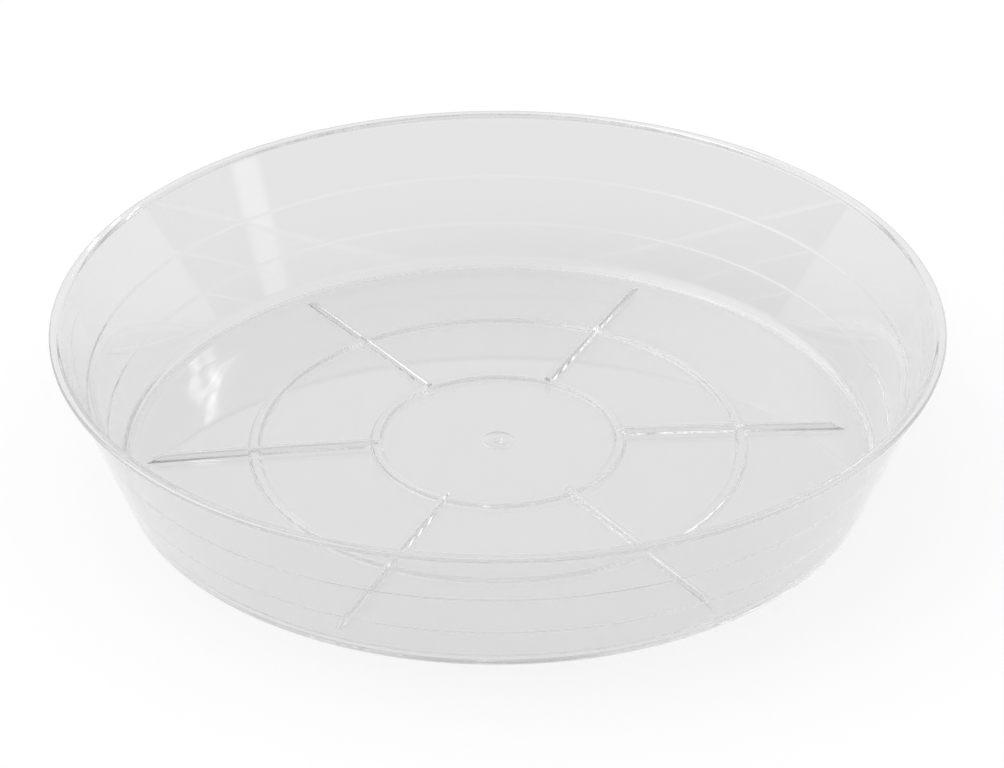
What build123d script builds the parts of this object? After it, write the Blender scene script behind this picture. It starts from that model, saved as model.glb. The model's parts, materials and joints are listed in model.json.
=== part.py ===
from build123d import *
import math
import os

# A clear plant saucer: one plastic moulding, stood on the ground with +Z up.

# Driving dimensions, in millimetres
RIM_D = 250.0        # across the outside of the lip
HEIGHT = 45.0        # from the ground to the top of the lip
FLARE_DEG = 20.0     # how far the wall leans out from upright
FLOOR_T = 1.3        # thickness of the floor
CROWN = 2.0          # how far the middle of the floor rises above its edge
FOOT_W = 5.0         # width of the flat ring that stands on the ground
WALL_T = 1.6         # thickness of the wall's lowest band
BANDS = 3            # bands in the wall's inner face
BAND_STEP = 0.2      # how much thinner each band is than the one below it
BAND_SHARE = 0.30    # height of one band, as a share of HEIGHT
LIP_OVERHANG = 2.2   # how far the lip stands out past the wall
LIP_T = 1.6          # thickness of the lip
RINGS = 2            # ring ribs
RING_W = 3.4         # width of a ring rib where it leaves the floor
RING_H = 1.2         # height of a ring rib
RIBS = 6             # radial ribs
RIB_W = 1.8          # width of a radial rib
RIB_H = 2.2          # height of a radial rib
RIB_GAP = 4.0        # how far a radial rib stops short of the floor's edge
NOSE_RUN = 2.0       # length of a radial rib's sloping nose, in rib heights
GATE_D = 9.0         # across the gate mark in the middle of the floor
GATE_H = 0.5         # depth of the gate mark

# Rounds, each tied to the thickness that it eases
FOOT_R = 0.6 * WALL_T
LIP_EDGE_R = 0.42 * LIP_T
LIP_IN_R = 0.7 * LIP_T
LIP_ROOT_R = 0.4 * LIP_T
RING_TOP_R = 0.45 * RING_H
RING_ROOT_R = 0.5 * RING_H
# A radial rib's round stays within its width, and above the ring rib that it crosses
RIB_TOP_R = min(0.35 * RIB_W, 0.63 * (RIB_H - RING_H))

# Values that follow from the driving dimensions
RIM_R = RIM_D / 2
LEAN = math.radians(FLARE_DEG)
SLOPE = math.tan(LEAN)
LIP_Z = HEIGHT - LIP_T
WALL_TOP_R = RIM_R - LIP_OVERHANG
BASE_R = WALL_TOP_R - SLOPE * LIP_Z
BAND_H = BAND_SHARE * HEIGHT
FOOT_IN_R = BASE_R - FOOT_W
CAP_R = (FOOT_IN_R ** 2 + CROWN ** 2) / (2 * CROWN)
SINK = FLOOR_T / 2
# The floor ends where it starts to bend into the wall, and the ring ribs share it out evenly
CORNER_X = BASE_R + SLOPE * FLOOR_T - WALL_T / math.cos(LEAN)
FLOOR_R = CORNER_X - WALL_T
RING_PITCH = FLOOR_R / (RINGS + 1)
# The inside round uses most of the flat strip between the crowned floor and the wall
CORNER_R = 0.83 * (CORNER_X - FOOT_IN_R) / math.tan((math.pi / 2 - LEAN) / 2)


def crown(r):
    """Height of the floor's underside at radius r: a shallow dome inside the foot ring."""
    if r >= FOOT_IN_R:
        return 0.0
    return CROWN - CAP_R + math.sqrt(CAP_R ** 2 - r ** 2)


def floor_top(r):
    """Height of the floor's upper face at radius r."""
    return crown(r) + FLOOR_T


def wall_out(z):
    """Radius of the wall's outer face at height z."""
    return BASE_R + SLOPE * z


def wall_in(z, band):
    """Radius of the wall's inner face at height z, in a band counted from the floor."""
    return wall_out(z) - (WALL_T - BAND_STEP * band) / math.cos(LEAN)


def inner_wall():
    """Points down the wall's inner face, with a small ledge where one band meets the next."""
    points = [(wall_in(HEIGHT, BANDS - 1), HEIGHT)]
    for band in range(BANDS - 1, 0, -1):
        z = BAND_H * band
        points.append((wall_in(z, band), z))
        points.append((wall_in(z, band - 1), z))
    points.append((wall_in(FLOOR_T, 0), FLOOR_T))
    return points


def outer_wall():
    """Points from the foot ring's inner edge, up the outer face and round the lip."""
    return [
        (FOOT_IN_R, 0),
        (BASE_R, 0),
        (WALL_TOP_R, LIP_Z),
        (RIM_R, LIP_Z),
        (RIM_R, HEIGHT),
    ]


def floor_arc(outer, inner):
    """The stretch of the floor's upper face between two radii, drawn from the outer one."""
    mid = (outer + inner) / 2
    ThreePointArc((outer, floor_top(outer)), (mid, floor_top(mid)), (inner, floor_top(inner)))


def ring_points(r):
    """The corners of one ring rib on the floor, from its outer root to its inner root."""
    half = RING_W / 2
    top = RING_W * 0.3
    high = floor_top(r) + RING_H
    return [(r + half, floor_top(r + half)), (r + top, high), (r - top, high), (r - half, floor_top(r - half))]


def gate_dome():
    """The low dome over the gate, in the middle of the floor's upper face, drawn from its edge."""
    r = GATE_D / 2
    top = floor_top(0) + GATE_H
    rise = top - floor_top(r)
    ball = (r ** 2 + rise ** 2) / (2 * rise)
    ThreePointArc((r, floor_top(r)), (r / 2, top - ball + math.sqrt(ball ** 2 - r ** 2 / 4)), (0, top))


def gate_well():
    """Points under the floor from the axis: the gate's trimmed nub, and the well that keeps it off the ground."""
    nub = GATE_D / 9
    edge = GATE_D / 2
    well = CROWN + GATE_H
    return [(0, CROWN + 0.1 * GATE_H), (nub, CROWN + 0.1 * GATE_H), (nub, well), (edge, well), (edge, crown(edge))]


def underside():
    """The floor's lower face, from the gate to the foot ring."""
    well = gate_well()
    edge = well[-1][0]
    mid = (edge + FOOT_IN_R) / 2
    Polyline(*well)
    ThreePointArc((edge, crown(edge)), (mid, crown(mid)), (FOOT_IN_R, 0))


def ringed_floor():
    """The floor's upper face from the foot ring to the middle, with its ring ribs."""
    at = FOOT_IN_R
    for k in range(RINGS, 0, -1):
        corners = ring_points(RING_PITCH * k)
        floor_arc(at, corners[0][0])
        Polyline(*corners)
        at = corners[-1][0]
    floor_arc(at, GATE_D / 2)
    gate_dome()


def ease(section, point, radius):
    """Round the section's corner that lies at the point."""
    corner = section.vertices().sort_by_distance((point[0], point[1], 0))[0]
    fillet(corner, radius)


def ease_rings(section):
    """Round each ring rib's top edges, and ease its roots into the floor."""
    for k in range(RINGS):
        root_out, top_out, top_in, root_in = ring_points(RING_PITCH * (k + 1))
        ease(section, top_out, RING_TOP_R)
        ease(section, top_in, RING_TOP_R)
        ease(section, root_out, RING_ROOT_R)
        ease(section, root_in, RING_ROOT_R)


def shell():
    """Floor, ring ribs, foot, wall and lip, spun from one half section."""
    inner = inner_wall()
    with BuildPart() as body:
        with BuildSketch(Plane.XZ) as section:
            with BuildLine():
                underside()
                Polyline(*outer_wall(), *inner, (FOOT_IN_R, FLOOR_T))
                ringed_floor()
                Line((0, floor_top(0) + GATE_H), gate_well()[0])
            make_face()
            ease(section, (BASE_R, 0), FOOT_R)
            ease(section, (WALL_TOP_R, LIP_Z), LIP_ROOT_R)
            ease(section, (RIM_R, LIP_Z), LIP_EDGE_R)
            ease(section, (RIM_R, HEIGHT), LIP_EDGE_R)
            ease(section, inner[0], LIP_IN_R)
            ease(section, inner[-1], CORNER_R)
            ease_rings(section)
        revolve(axis=Axis.Z)
    return body.part


def radial_rib():
    """One straight rib along +X, from the top of the first ring rib out along the crowned floor to a sloping nose."""
    start = RING_PITCH - RING_W * 0.2
    end = FLOOR_R - RIB_GAP
    nose = end - NOSE_RUN * RIB_H
    # The nose's slope goes on below the floor's upper face, so that it cuts the floor cleanly
    tip = end + NOSE_RUN * SINK
    mid = (start + nose) / 2
    with BuildPart() as bar:
        with BuildSketch(Plane.XZ):
            with BuildLine():
                ThreePointArc(
                    (start, floor_top(start) + RIB_H),
                    (mid, floor_top(mid) + RIB_H),
                    (nose, floor_top(nose) + RIB_H),
                )
                Line((nose, floor_top(nose) + RIB_H), (tip, floor_top(end) - SINK))
                ThreePointArc(
                    (tip, floor_top(end) - SINK),
                    (mid, floor_top(mid) - SINK),
                    (start, floor_top(start) - SINK),
                )
                Line((start, floor_top(start) - SINK), (start, floor_top(start) + RIB_H))
            make_face()
        extrude(amount=RIB_W / 2, both=True)
        along = bar.edges().filter_by(Axis.Y, reverse=True).filter_by(Axis.Z, reverse=True)
        high = [edge for edge in along if edge.center().Z > floor_top(edge.center().X)]
        print("rib edges eased:", len(high))
        fillet(high, RIB_TOP_R)
    return bar.part


def saucer():
    """The whole moulding: the spun shell with its radial ribs."""
    rib = radial_rib()
    ribs = [Rot(0, 0, 360 / RIBS * k) * rib for k in range(RIBS)]
    return shell().fuse(*ribs)


part = saucer()
box = part.bounding_box()
print("solids:", len(part.solids()), "valid:", part.is_valid)
print("size mm:", round(box.size.X, 2), round(box.size.Y, 2), round(box.size.Z, 2), "lowest:", round(box.min.Z, 3))
print("foot radius mm:", round(BASE_R, 2), "ring step mm:", round(RING_PITCH, 2), "volume cm3:", round(part.volume / 1000, 1))
os.makedirs("parts", exist_ok=True)
export_step(part, "parts/saucer.step")
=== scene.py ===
# %% [markdown]
# # A clear plant saucer
# The object is one moulding: a wide, shallow dish in clear plastic that stands under a plant pot. The
# measured solid is loaded first as a fixed frame, in metres, and nothing in this lesson moves or resizes
# it. A clear dish shows every facet, so the lesson models a finer dish over that frame and then gives it
# its finish.

# %% Load the frame
import json
import math

import bmesh
import bpy
from mathutils import Euler, Matrix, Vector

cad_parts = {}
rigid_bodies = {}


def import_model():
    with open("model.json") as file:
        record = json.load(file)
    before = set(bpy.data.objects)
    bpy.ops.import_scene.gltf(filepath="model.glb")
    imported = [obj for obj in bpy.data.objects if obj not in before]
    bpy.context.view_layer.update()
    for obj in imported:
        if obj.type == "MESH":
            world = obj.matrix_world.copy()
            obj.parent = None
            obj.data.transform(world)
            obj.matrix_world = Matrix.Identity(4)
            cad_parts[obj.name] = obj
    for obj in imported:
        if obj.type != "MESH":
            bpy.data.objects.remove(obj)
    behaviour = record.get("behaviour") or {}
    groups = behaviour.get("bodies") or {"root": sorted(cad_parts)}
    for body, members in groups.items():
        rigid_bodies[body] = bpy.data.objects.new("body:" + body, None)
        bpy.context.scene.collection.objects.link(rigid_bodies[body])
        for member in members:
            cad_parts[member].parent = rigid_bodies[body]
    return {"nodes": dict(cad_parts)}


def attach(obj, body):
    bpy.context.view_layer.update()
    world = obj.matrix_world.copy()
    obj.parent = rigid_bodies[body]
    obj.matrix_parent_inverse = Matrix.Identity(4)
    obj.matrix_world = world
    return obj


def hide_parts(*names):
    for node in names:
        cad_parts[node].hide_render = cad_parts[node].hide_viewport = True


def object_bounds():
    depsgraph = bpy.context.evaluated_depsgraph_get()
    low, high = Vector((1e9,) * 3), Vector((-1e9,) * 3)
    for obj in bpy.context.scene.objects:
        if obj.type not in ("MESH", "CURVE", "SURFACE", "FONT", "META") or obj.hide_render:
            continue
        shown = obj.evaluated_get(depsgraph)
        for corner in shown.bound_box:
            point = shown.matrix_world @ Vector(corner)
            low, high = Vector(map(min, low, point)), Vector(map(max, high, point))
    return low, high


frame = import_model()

cad_low, cad_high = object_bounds()
print("frame:", list(frame["nodes"]), "size mm:", [round(1000 * side, 2) for side in cad_high - cad_low])

# %% [markdown]
# ## Sizes
# The rim and the height are read from the frame. The rest are the moulding's own sizes: walls a little over
# a millimetre thick, as such dishes have, with three bands that grow thinner towards the lip so that the
# tool lets go.

# %% Sizes of the moulding
MM = 0.001
RIM_R = (cad_high.x - cad_low.x) / 2
HEIGHT = cad_high.z - cad_low.z
FLARE = math.radians(20)
FLOOR_T = 1.3 * MM
CROWN = 2.0 * MM
FOOT_W = 5.0 * MM
WALL_T = 1.6 * MM
BAND_STEP = 0.2 * MM
BAND_H = 0.30 * HEIGHT
LIP_OVERHANG = 2.2 * MM
LIP_T = 1.6 * MM
LIP_Z = HEIGHT - LIP_T
WALL_TOP_R = RIM_R - LIP_OVERHANG
FOOT_R = WALL_TOP_R - math.tan(FLARE) * LIP_Z
FOOT_IN_R = FOOT_R - FOOT_W
print("rim, foot and height mm:", [round(size / MM, 2) for size in (RIM_R, FOOT_R, HEIGHT)])

# %% [markdown]
# ## The half section
# A dish that is round all the way is drawn as half of its cut face and then spun. The outline below runs
# from the middle of the underside, out to the foot, up the outer wall, over the lip, down the inner wall
# with its two small ledges, and back over the floor with its two ring ribs. Each corner carries the radius
# of its round.

# %% Heights and radii of the faces
GATE_R = 4.5 * MM
GATE_H = 0.5 * MM
NUB_R = 1.0 * MM
CORNER_X = FOOT_R + math.tan(FLARE) * FLOOR_T - WALL_T / math.cos(FLARE)
FLOOR_R = CORNER_X - WALL_T
RING_RADII = (FLOOR_R / 3, FLOOR_R * 2 / 3)
RING_W = 3.4 * MM
RING_TOP_W = 0.6 * RING_W
RING_H = 1.2 * MM
DOME_STEP = 6 * MM


def underside(r):
    """Height of the floor's lower face: a shallow dome inside the foot ring."""
    return CROWN * max(0.0, 1 - (r / FOOT_IN_R) ** 2)


def floor_top(r):
    """Height of the floor's upper face."""
    return underside(r) + FLOOR_T


def wall_in(z, band):
    """Radius of the wall's inner face at a height, in a band counted from the floor."""
    thickness = WALL_T - BAND_STEP * band
    return FOOT_R + math.tan(FLARE) * z - thickness / math.cos(FLARE)


def dome_points(start, end, height):
    """Corners along a domed face between two radii, close enough together to look round."""
    count = max(2, round(abs(end - start) / DOME_STEP))
    radii = [start + (end - start) * k / count for k in range(1, count)]
    return [(r, height(r), 0) for r in radii]


print("ring ribs at mm:", [round(r / MM, 2) for r in RING_RADII], "floor to mm:", round(FLOOR_R / MM, 2))

# %% The outline's corners
FINE_R = 0.15 * MM
FOOT_IN_ROUND = 1.1 * MM
LEDGE_ROUND = 0.5 * MM
LEDGE_RISE = 0.5 * MM
FOOT_ROUND = 0.96 * MM
CORNER_ROUND = 4.4 * MM
LIP_ROOT_ROUND = 0.64 * MM
LIP_EDGE_ROUND = 0.67 * MM
LIP_IN_ROUND = 1.1 * MM
RING_TOP_ROUND = 0.54 * MM
RING_ROOT_ROUND = 0.6 * MM
well = CROWN + GATE_H
nub = CROWN + 0.1 * GATE_H
TOP_BAND = 2
FLOOR_START = FOOT_IN_R - 0.5 * MM

outline = [(0, nub, 0), (NUB_R, nub, FINE_R), (NUB_R, well, FINE_R), (GATE_R, well, FINE_R)]
outline += [(GATE_R, underside(GATE_R), FINE_R)]
outline += dome_points(GATE_R, FOOT_IN_R, underside)
outline += [(FOOT_IN_R, 0, FOOT_IN_ROUND), (FOOT_R, 0, FOOT_ROUND)]
outline += [(WALL_TOP_R, LIP_Z, LIP_ROOT_ROUND), (RIM_R, LIP_Z, LIP_EDGE_ROUND)]
outline += [(RIM_R, HEIGHT, LIP_EDGE_ROUND), (wall_in(HEIGHT, TOP_BAND), HEIGHT, LIP_IN_ROUND)]
for band in range(TOP_BAND, 0, -1):
    upper = BAND_H * band + LEDGE_RISE / 2
    lower = upper - LEDGE_RISE
    outline += [(wall_in(upper, band), upper, LEDGE_ROUND), (wall_in(lower, band - 1), lower, LEDGE_ROUND)]
outline += [(CORNER_X, FLOOR_T, CORNER_ROUND)]
at = FLOOR_START
for ring in reversed(RING_RADII):
    root_out, root_in = ring + RING_W / 2, ring - RING_W / 2
    top = floor_top(ring) + RING_H
    outline += dome_points(at, root_out, floor_top)
    outline += [(root_out, floor_top(root_out), RING_ROOT_ROUND)]
    outline += [(ring + side * RING_TOP_W / 2, top, RING_TOP_ROUND) for side in (1, -1)]
    outline += [(root_in, floor_top(root_in), RING_ROOT_ROUND)]
    at = root_in
outline += dome_points(at, GATE_R, floor_top)
outline += [(GATE_R, floor_top(GATE_R), FINE_R)]
outline += dome_points(GATE_R, 0, lambda r: floor_top(r) + GATE_H * (1 - (r / GATE_R) ** 2))
outline += [(0, floor_top(0) + GATE_H, 0)]
print("corners in the outline:", len(outline))

# %% [markdown]
# ## Rounds
# A moulding has no sharp corner, because hot plastic needs a round to flow and a tool needs one to let go.
# Each corner is swapped for a short arc. A holding point on either side of the arc keeps the shading of the
# long faces flat, so that the clear wall doesn't bend what is seen through it.

# %% Put an arc in each corner
HOLD = 0.25 * MM
HOLD_ROOM = 3 * HOLD
ROUND_REACH = 0.46
ROUND_STEP_DEG = 14


def arc_points(before, corner, after, radius):
    """Points of the round in a corner, with a holding point before and after it."""
    to_before = (before[0] - corner[0], before[1] - corner[1])
    to_after = (after[0] - corner[0], after[1] - corner[1])
    long_before, long_after = math.hypot(*to_before), math.hypot(*to_after)
    u = (to_before[0] / long_before, to_before[1] / long_before)
    w = (to_after[0] / long_after, to_after[1] / long_after)
    opening = math.acos(max(-1.0, min(1.0, u[0] * w[0] + u[1] * w[1])))
    reach = min(radius / math.tan(opening / 2), ROUND_REACH * min(long_before, long_after))
    radius = reach * math.tan(opening / 2)
    turn = math.pi - opening
    count = max(2, round(math.degrees(turn) / ROUND_STEP_DEG))
    to_centre = radius / math.sin(opening / 2)
    half = math.hypot(u[0] + w[0], u[1] + w[1])
    middle = ((u[0] + w[0]) / half, (u[1] + w[1]) / half)
    centre = (corner[0] + middle[0] * to_centre, corner[1] + middle[1] * to_centre)
    first = (corner[0] + u[0] * reach, corner[1] + u[1] * reach)
    last = (corner[0] + w[0] * reach, corner[1] + w[1] * reach)
    side = math.copysign(1, u[0] * w[1] - u[1] * w[0])
    start = math.atan2(first[1] - centre[1], first[0] - centre[0])
    points = []
    if long_before - reach > HOLD_ROOM:
        points.append((first[0] + u[0] * HOLD, first[1] + u[1] * HOLD))
    for k in range(count + 1):
        angle = start - side * turn * k / count
        points.append((centre[0] + radius * math.cos(angle), centre[1] + radius * math.sin(angle)))
    if long_after - reach > HOLD_ROOM:
        points.append((last[0] + w[0] * HOLD, last[1] + w[1] * HOLD))
    return points


section = []
for k, (r, z, round_r) in enumerate(outline):
    if round_r:
        section += arc_points(outline[k - 1], (r, z), outline[k + 1], round_r)
    else:
        section.append((r, z))
print("points in the half section:", len(section))

# %% [markdown]
# ## Spin the dish
# The outline is drawn as a modeller would draw it: one vertex on the axis, extruded from point to point,
# and the finished line spun through a full turn. The seam's doubles are merged, which also closes the two
# poles.

# %% Draw the outline and spin it
STEPS = 288
MERGE = 0.002 * MM


def start_fresh():
    """Leave edit mode and deselect everything, so that the next operator acts on its own piece alone."""
    if bpy.context.object and bpy.context.object.mode != "OBJECT":
        bpy.ops.object.mode_set(mode="OBJECT")
    bpy.ops.object.select_all(action="DESELECT")


start_fresh()
bpy.ops.mesh.primitive_plane_add(size=MM, location=(section[0][0], 0, section[0][1]))
dish = bpy.context.object
dish.name = "clear_saucer"
bpy.ops.object.transform_apply(location=True)
bpy.ops.object.mode_set(mode="EDIT")
bpy.ops.mesh.merge(type="CENTER")
for here, there in zip(section, section[1:]):
    step = (there[0] - here[0], 0, there[1] - here[1])
    bpy.ops.mesh.extrude_region_move(TRANSFORM_OT_translate={"value": step})
bpy.ops.mesh.select_all(action="SELECT")
bpy.ops.mesh.spin(steps=STEPS, angle=2 * math.pi, center=(0, 0, 0), axis=(0, 0, 1))
bpy.ops.mesh.select_all(action="SELECT")
bpy.ops.mesh.remove_doubles(threshold=MERGE)
bpy.ops.mesh.normals_make_consistent(inside=False)
bpy.ops.object.mode_set(mode="OBJECT")
print("dish vertices:", len(dish.data.vertices), "faces:", len(dish.data.polygons))

# %% [markdown]
# ## Radial ribs
# Six straight ribs stiffen the floor and hold the pot clear of the water. One rib is modelled: a small
# upright face on the first ring rib is extruded outwards, station by station, so that it follows the
# crowned floor, and its last stretch slopes down into the floor. Its top edges are bevelled. The rib stands
# a little into the floor, so that the union below has no faces that only touch.

# %% Model one rib
RIB_W = 1.8 * MM
RIB_H = 2.2 * MM
RIB_SINK = FLOOR_T / 2
RIB_TOP_ROUND = 0.63 * MM
RIB_TOP_SEGMENTS = 4
RIB_STATIONS = 11
RIB_GAP = 4.0 * MM
NOSE_RUN = 2
NOSE_DROP = 0.99
NEAR = 0.1 * MM
rib_start = RING_RADII[0] - 0.2 * RING_W
rib_end = FLOOR_R - RIB_GAP
rib_nose = rib_end - NOSE_RUN * RIB_H
rib_tip = rib_end + NOSE_RUN * RIB_SINK


def select_edges(piece, rule):
    """Select the edges of a piece in edit mode whose two ends fit the rule."""
    bpy.ops.mesh.select_mode(type="EDGE")
    bpy.ops.mesh.select_all(action="DESELECT")
    shape = bmesh.from_edit_mesh(piece.data)
    chosen = [edge for edge in shape.edges if rule(edge.verts[0].co, edge.verts[1].co)]
    for edge in chosen:
        edge.select_set(True)
    bmesh.update_edit_mesh(piece.data)
    return len(chosen)


rib_mid_z = floor_top(rib_start) + (RIB_H - RIB_SINK) / 2
start_fresh()
rib_foot = (rib_start, 0, rib_mid_z)
bpy.ops.mesh.primitive_plane_add(size=1, location=rib_foot, rotation=(0, math.pi / 2, 0))
rib = bpy.context.object
bpy.ops.object.transform_apply(location=True, rotation=True)
bpy.ops.object.mode_set(mode="EDIT")
bpy.ops.transform.resize(value=(1, RIB_W, RIB_H + RIB_SINK), center_override=rib_foot)
stations = [rib_start + (rib_nose - rib_start) * k / RIB_STATIONS for k in range(RIB_STATIONS + 1)]
for here, there in zip(stations, stations[1:]):
    step = (there - here, 0, floor_top(there) - floor_top(here))
    bpy.ops.mesh.extrude_region_move(TRANSFORM_OT_translate={"value": step})
nose_step = (rib_tip - rib_nose, 0, floor_top(rib_end) - floor_top(rib_nose))
bpy.ops.mesh.extrude_region_move(TRANSFORM_OT_translate={"value": nose_step})
tip_mid_z = floor_top(rib_end) + (RIB_H - RIB_SINK) / 2
select_edges(rib, lambda a, b: min(a.x, b.x) > rib_tip - NEAR and min(a.z, b.z) > tip_mid_z)
bpy.ops.transform.translate(value=(0, 0, -NOSE_DROP * (RIB_H + RIB_SINK)))


def on_top(p):
    """True at a point of the rib's upper edges, the sloping nose's lower end among them."""
    return p.x > rib_tip - NEAR or p.z > floor_top(p.x) + 0.5 * RIB_H


top_edges = select_edges(
    rib,
    lambda a, b: abs(a.x - b.x) > MM and on_top(a) and on_top(b)
    and (min(a.x, b.x) < rib_nose - MM or a.z + b.z > 2 * floor_top(rib_end)),
)
bpy.ops.mesh.bevel(offset=RIB_TOP_ROUND, segments=RIB_TOP_SEGMENTS, affect="EDGES")
bpy.ops.mesh.select_all(action="SELECT")
bpy.ops.mesh.normals_make_consistent(inside=False)
bpy.ops.object.mode_set(mode="OBJECT")
print("rib top edges eased:", top_edges, "rib faces:", len(rib.data.polygons))

# %% [markdown]
# ## Six ribs, one moulding
# The rib is copied round the axis and all six are joined to the dish by an exact union. A clear body must
# have no faces inside it, because light would bend at each of them.

# %% Copy the rib and join it to the dish
RIBS = 6
start_fresh()
rib.select_set(True)
bpy.context.view_layer.objects.active = rib
for k in range(1, RIBS):
    bpy.ops.object.duplicate()
    bpy.ops.transform.rotate(value=2 * math.pi / RIBS, orient_axis="Z", center_override=(0, 0, 0))
    bpy.ops.object.transform_apply(location=True, rotation=True)
copies = [piece for piece in bpy.data.objects if piece.name.startswith(rib.name)]
for piece in copies:
    piece.select_set(True)
bpy.ops.object.join()
ribs = bpy.context.object
start_fresh()
dish.select_set(True)
bpy.context.view_layer.objects.active = dish
bpy.ops.object.modifier_add(type="BOOLEAN")
union = dish.modifiers[-1]
union.operation = "UNION"
union.solver = "EXACT"
union.object = ribs
bpy.ops.object.modifier_apply(modifier=union.name)
bpy.data.objects.remove(ribs)
print("ribs joined:", len(copies), "dish faces:", len(dish.data.polygons))

# %% Shade it smooth and look for open edges
SMOOTH_DEG = 28
bpy.ops.object.mode_set(mode="EDIT")
bpy.ops.mesh.select_all(action="SELECT")
bpy.ops.mesh.remove_doubles(threshold=MERGE)
bpy.ops.mesh.normals_make_consistent(inside=False)
bpy.ops.mesh.select_mode(type="VERT")
bpy.ops.mesh.select_all(action="DESELECT")
bpy.ops.mesh.select_non_manifold()
open_points = sum(point.select for point in bmesh.from_edit_mesh(dish.data).verts)
bpy.ops.object.mode_set(mode="OBJECT")
bpy.ops.object.shade_smooth_by_angle(angle=math.radians(SMOOTH_DEG))
triangles = sum(len(face.vertices) - 2 for face in dish.data.polygons)
print("open points:", open_points, "triangles:", triangles)

# %% [markdown]
# ## The plastic
# The dish is clear polystyrene, moulded against a polished tool. Polystyrene bends light more than most
# clear plastics, so its edges and ribs show as grey lines, and light that runs a long way inside it grows a
# little weaker. The polish gives sharp reflections. The tool's long waves leave a ripple that is only just
# there, and handling leaves a haze that varies over the face. Glass and gloss shaders could be mixed for
# this, but one Principled shader with full transmission keeps the two in step.

# %% Helpers for materials


def linear(code):
    """An sRGB hex colour as the linear values that a shader wants."""
    channels = [int(code[k:k + 2], 16) / 255 for k in (1, 3, 5)]
    return [c / 12.92 if c <= 0.04045 else ((c + 0.055) / 1.055) ** 2.4 for c in channels] + [1.0]


def add_node(owner, kind, settings, links):
    """Add a node to a material or world, then set and link its inputs, each by its name or its number."""
    node = owner.node_tree.nodes.new(kind)
    for key, value in settings.items():
        if isinstance(key, int) or key in node.inputs:
            node.inputs[key].default_value = value
        else:
            setattr(node, key, value)
    for key, source in links.items():
        owner.node_tree.links.new(source, node.inputs[key])
    return node


def new_material(name):
    """A node material with no nodes yet."""
    material = bpy.data.materials.new(name)
    material.use_nodes = True
    material.node_tree.nodes.clear()
    return material


print("middle grey #808080 in linear values:", [round(c, 3) for c in linear("#808080")])

# %% Clear polystyrene
# The eye looks through it, sees sharp reflections on its face, and grey lines where it bends the light
CLEAR = linear("#F6F6F6")
DEEP_GREY = linear("#BCBCBC")
DEEP_DENSITY = 0.5
POLYSTYRENE_IOR = 1.57
RIPPLE = 20 * MM
RIPPLE_DEPTH = 0.01 * MM
HAZE = 5 * MM
HAZE_FROM, HAZE_TO = 0.35, 0.75
POLISHED, HANDLED = 0.012, 0.04

plastic = new_material("clear_polystyrene_polished_moulding")
place = add_node(plastic, "ShaderNodeTexCoord", {}, {})
ripple = add_node(plastic, "ShaderNodeTexNoise", {"Scale": 1 / RIPPLE, "Detail": 1.0, "Roughness": 0.4},
                  {"Vector": place.outputs["Object"]})
bump = add_node(plastic, "ShaderNodeBump", {"Strength": 1.0, "Distance": RIPPLE_DEPTH},
                {"Height": ripple.outputs["Fac"]})
haze = add_node(plastic, "ShaderNodeTexNoise", {"Scale": 1 / HAZE, "Detail": 3.0, "Roughness": 0.6},
                {"Vector": place.outputs["Object"]})
polish = add_node(plastic, "ShaderNodeMapRange",
                  {"From Min": HAZE_FROM, "From Max": HAZE_TO, "To Min": POLISHED, "To Max": HANDLED},
                  {"Value": haze.outputs["Fac"]})
body = add_node(plastic, "ShaderNodeBsdfPrincipled",
                {"Base Color": CLEAR, "IOR": POLYSTYRENE_IOR, "Transmission Weight": 1.0},
                {"Roughness": polish.outputs["Result"], "Normal": bump.outputs["Normal"]})
depth = add_node(plastic, "ShaderNodeVolumeAbsorption", {"Color": DEEP_GREY, "Density": DEEP_DENSITY}, {})
add_node(plastic, "ShaderNodeOutputMaterial", {},
         {"Surface": body.outputs["BSDF"], "Volume": depth.outputs["Volume"]})
dish.data.materials.clear()
dish.data.materials.append(plastic)
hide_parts("saucer")
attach(dish, "root")
print("plastic:", plastic.name, "colour:", [round(c, 3) for c in body.inputs["Base Color"].default_value])

# %% [markdown]
# ## Floor
# A plain white floor runs out of the picture on every side: a large disc, so that the picture has no
# horizon. A sheet that is white only where light falls on it would turn grey round the saucer, so most of
# this white is the floor's own glow, and the rest, which the room lights, keeps the soft shadow. Glossy and
# clear surfaces see the glow too. Seen through the plastic, the glow is dimmed to a pale grey: painted
# shade that stands in for the shadow the dish casts on the sheet under and behind it.

# %% White floor
# A matt white sheet, which gives the eye an even ground with a soft shadow
FLOOR_ACROSS = 6.0
FLOOR_SIDES = 96
FLOOR_DROP = 0.05 * MM
GLOW_SHARE = 0.8
# Strength of the glow seen through the plastic: painted shade for the dish's shadow on the sheet
SHADED_GLOW_THROUGH = 0.857
SHEET_WHITE = linear("#F8F8F8")

start_fresh()
bpy.ops.mesh.primitive_circle_add(
    vertices=FLOOR_SIDES, radius=FLOOR_ACROSS / 2, fill_type="NGON", location=(0, 0, -FLOOR_DROP)
)
floor = bpy.context.object
floor.name = "studio_floor"
bpy.ops.object.transform_apply(location=True)
paper = new_material("white_studio_floor")
rays = add_node(paper, "ShaderNodeLightPath", {}, {})
seen = add_node(paper, "ShaderNodeMath", {"operation": "MAXIMUM"},
                {0: rays.outputs["Is Camera Ray"], 1: rays.outputs["Is Glossy Ray"]})
seen_all = add_node(paper, "ShaderNodeMath", {"operation": "MAXIMUM"},
                    {0: seen.outputs[0], 1: rays.outputs["Is Transmission Ray"]})
share = add_node(paper, "ShaderNodeMath", {"operation": "MULTIPLY", 1: GLOW_SHARE}, {0: seen_all.outputs[0]})
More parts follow.
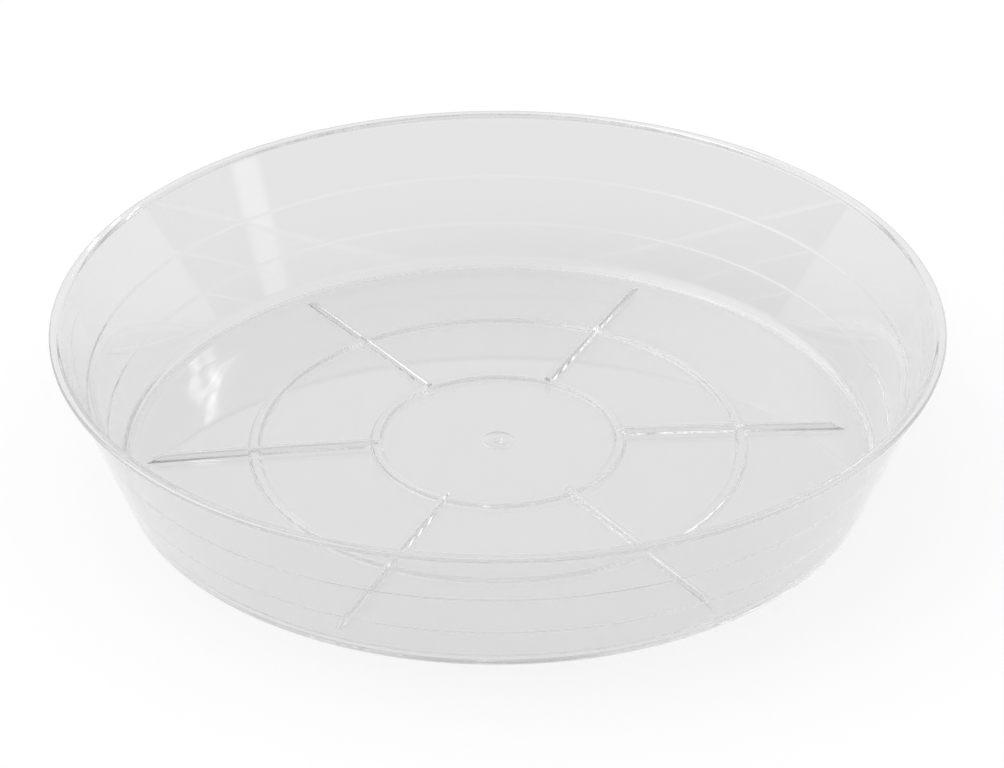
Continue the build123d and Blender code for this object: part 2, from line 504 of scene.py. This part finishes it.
# Full glow for the camera and gloss, dimmed for clear surfaces: painted shade for the dish's shadow on the
# sheet
glow_or_painted_shade = add_node(paper, "ShaderNodeMapRange", {"To Min": 1.0, "To Max": SHADED_GLOW_THROUGH},
                 {"Value": rays.outputs["Is Transmission Ray"]})
matt = add_node(paper, "ShaderNodeBsdfDiffuse", {"Color": SHEET_WHITE}, {})
glow = add_node(paper, "ShaderNodeEmission", {}, {"Strength": glow_or_painted_shade.outputs["Result"]})
mixed = add_node(paper, "ShaderNodeMixShader", {},
                 {"Fac": share.outputs[0], 1: matt.outputs[0], 2: glow.outputs[0]})
add_node(paper, "ShaderNodeOutputMaterial", {}, {"Surface": mixed.outputs[0]})
floor.data.materials.append(paper)
print("floor across m:", FLOOR_ACROSS)

# %% [markdown]
# ## Light
# Most of the light is an even white room, darker low down and a little brighter behind, which fills the
# clear wall with soft reflections. A broad patch of brighter sky on the left and a small one at the right
# front lift the wall there. Soft boxes could do that, but polished plastic shows their hard edges, so the
# patches are part of the room and fade out. The panes of a window behind do have edges, which show on the
# dish's floor, so they are two narrow lamps. Through the plastic the room is a little dimmer, which keeps
# the lip and the ribs grey.

# %% Room
ROOM = 0.91
HORIZON = 0.47
RISE_FROM, RISE_TO = 0.2, 0.45
FRONT_SHARE, BACK_SHARE = 0.9, 1.1
ROOM_THROUGH = 0.85
# Each patch has its azimuth, its elevation, how far from its middle it is full and gone, and what it adds
SOFT_PATCHES = ((168, 45, 12, 45, 1.25), (-26, 5, 2, 5.5, 0.9))


def direction(azimuth, elevation):
    """The way from the saucer to an azimuth (0 along +X) and an elevation in degrees, one metre long."""
    a, e = math.radians(azimuth), math.radians(elevation)
    return math.cos(e) * math.cos(a), math.cos(e) * math.sin(a), math.sin(e)


world = bpy.data.worlds.new("even_room")
bpy.context.scene.world = world
world.use_nodes = True
sky = world.node_tree.nodes["Background"]
sky.inputs["Color"].default_value = linear("#FFFFFF")
toward = add_node(world, "ShaderNodeTexCoord", {}, {})
axes = add_node(world, "ShaderNodeSeparateXYZ", {}, {"Vector": toward.outputs["Generated"]})
rise = add_node(world, "ShaderNodeMapRange",
                {"From Min": RISE_FROM, "From Max": RISE_TO, "To Min": HORIZON, "To Max": ROOM},
                {"Value": axes.outputs["Z"]})
behind = add_node(world, "ShaderNodeMapRange",
                  {"From Min": -1.0, "To Min": FRONT_SHARE, "To Max": BACK_SHARE},
                  {"Value": axes.outputs["Y"]})
strength = add_node(world, "ShaderNodeMath", {"operation": "MULTIPLY"},
                    {0: rise.outputs["Result"], 1: behind.outputs["Result"]})
for azimuth, elevation, full, gone, extra in SOFT_PATCHES:
    near = add_node(world, "ShaderNodeVectorMath",
                    {"operation": "DOT_PRODUCT", 1: direction(azimuth, elevation)},
                    {0: toward.outputs["Generated"]})
    patch = add_node(world, "ShaderNodeMapRange",
                     {"interpolation_type": "SMOOTHSTEP", "From Min": math.cos(math.radians(gone)),
                      "From Max": math.cos(math.radians(full)), "To Max": extra},
                     {"Value": near.outputs["Value"]})
    strength = add_node(world, "ShaderNodeMath", {"operation": "ADD"},
                        {0: strength.outputs[0], 1: patch.outputs["Result"]})
paths = add_node(world, "ShaderNodeLightPath", {}, {})
through = add_node(world, "ShaderNodeMapRange", {"To Min": 1.0, "To Max": ROOM_THROUGH},
                   {"Value": paths.outputs["Is Transmission Ray"]})
dimmed = add_node(world, "ShaderNodeMath", {"operation": "MULTIPLY"},
                  {0: strength.outputs[0], 1: through.outputs["Result"]})
world.node_tree.links.new(dimmed.outputs[0], sky.inputs["Strength"])
print("room strength:", ROOM, "at the horizon:", HORIZON, "soft patches:", len(SOFT_PATCHES))

# %% Window panes
PANE_DISTANCE = 2.04
# Each pane has a name, its azimuth and elevation, its width and height in metres, its radiance and its lean
PANES = (
    ("window_left_pane", 95.15, 27.8, 0.0055, 0.1, 4.4, -14),
    ("window_right_pane", 94.84, 28.5, 0.006, 0.16, 3.2, -12),
)


def window_pane(name, azimuth, elevation, width, height, radiance, lean):
    """A narrow area lamp that looks at the saucer, leant over by some degrees."""
    a, e = math.radians(azimuth), math.radians(elevation)
    spot = [PANE_DISTANCE * share for share in direction(azimuth, elevation)]
    facing = Euler((math.pi / 2 - e, 0, a + math.pi / 2)).to_matrix()
    turn = facing @ Matrix.Rotation(math.radians(lean), 3, "Z")
    start_fresh()
    bpy.ops.object.light_add(type="AREA", location=spot, rotation=turn.to_euler())
    lamp = bpy.context.object
    lamp.name = name
    lamp.data.shape = "RECTANGLE"
    lamp.data.size = width
    lamp.data.size_y = height
    lamp.data.energy = radiance * math.pi * width * height
    return lamp


lamps = [window_pane(*pane) for pane in PANES]
print("lamps:", [lamp.name for lamp in lamps])

# %% [markdown]
# ## Camera
# The picture was taken with a long lens from about a metre away, looking down by some thirty degrees. The
# camera could be set by eye, but it was worked out from the outlines of the rim and the foot, so that the
# saucer lies where it does in the picture. Light runs round inside a clear wall many times before it
# leaves, so it may bounce very often: cut short, it would leave dark edges.

# %% Camera
CAMERA_AT = (-0.08023, -0.92079, 0.57643)
CAMERA_TURN_DEG = (59.029, 0.115, -5.119)
LENS_MM = 136.7
SENSOR_MM = 36
CLIP_START = 0.05
BOUNCES = 1024

start_fresh()
bpy.ops.object.camera_add(location=CAMERA_AT, rotation=[math.radians(turn) for turn in CAMERA_TURN_DEG])
camera = bpy.context.object
camera.data.sensor_width = SENSOR_MM
camera.data.lens = LENS_MM
camera.data.clip_start = CLIP_START
bpy.context.scene.camera = camera
bpy.context.scene.view_settings.view_transform = "Standard"
cycles = bpy.context.scene.cycles
cycles.max_bounces = BOUNCES
cycles.glossy_bounces = BOUNCES
cycles.transmission_bounces = BOUNCES
print("camera at m:", CAMERA_AT, "lens mm:", LENS_MM)
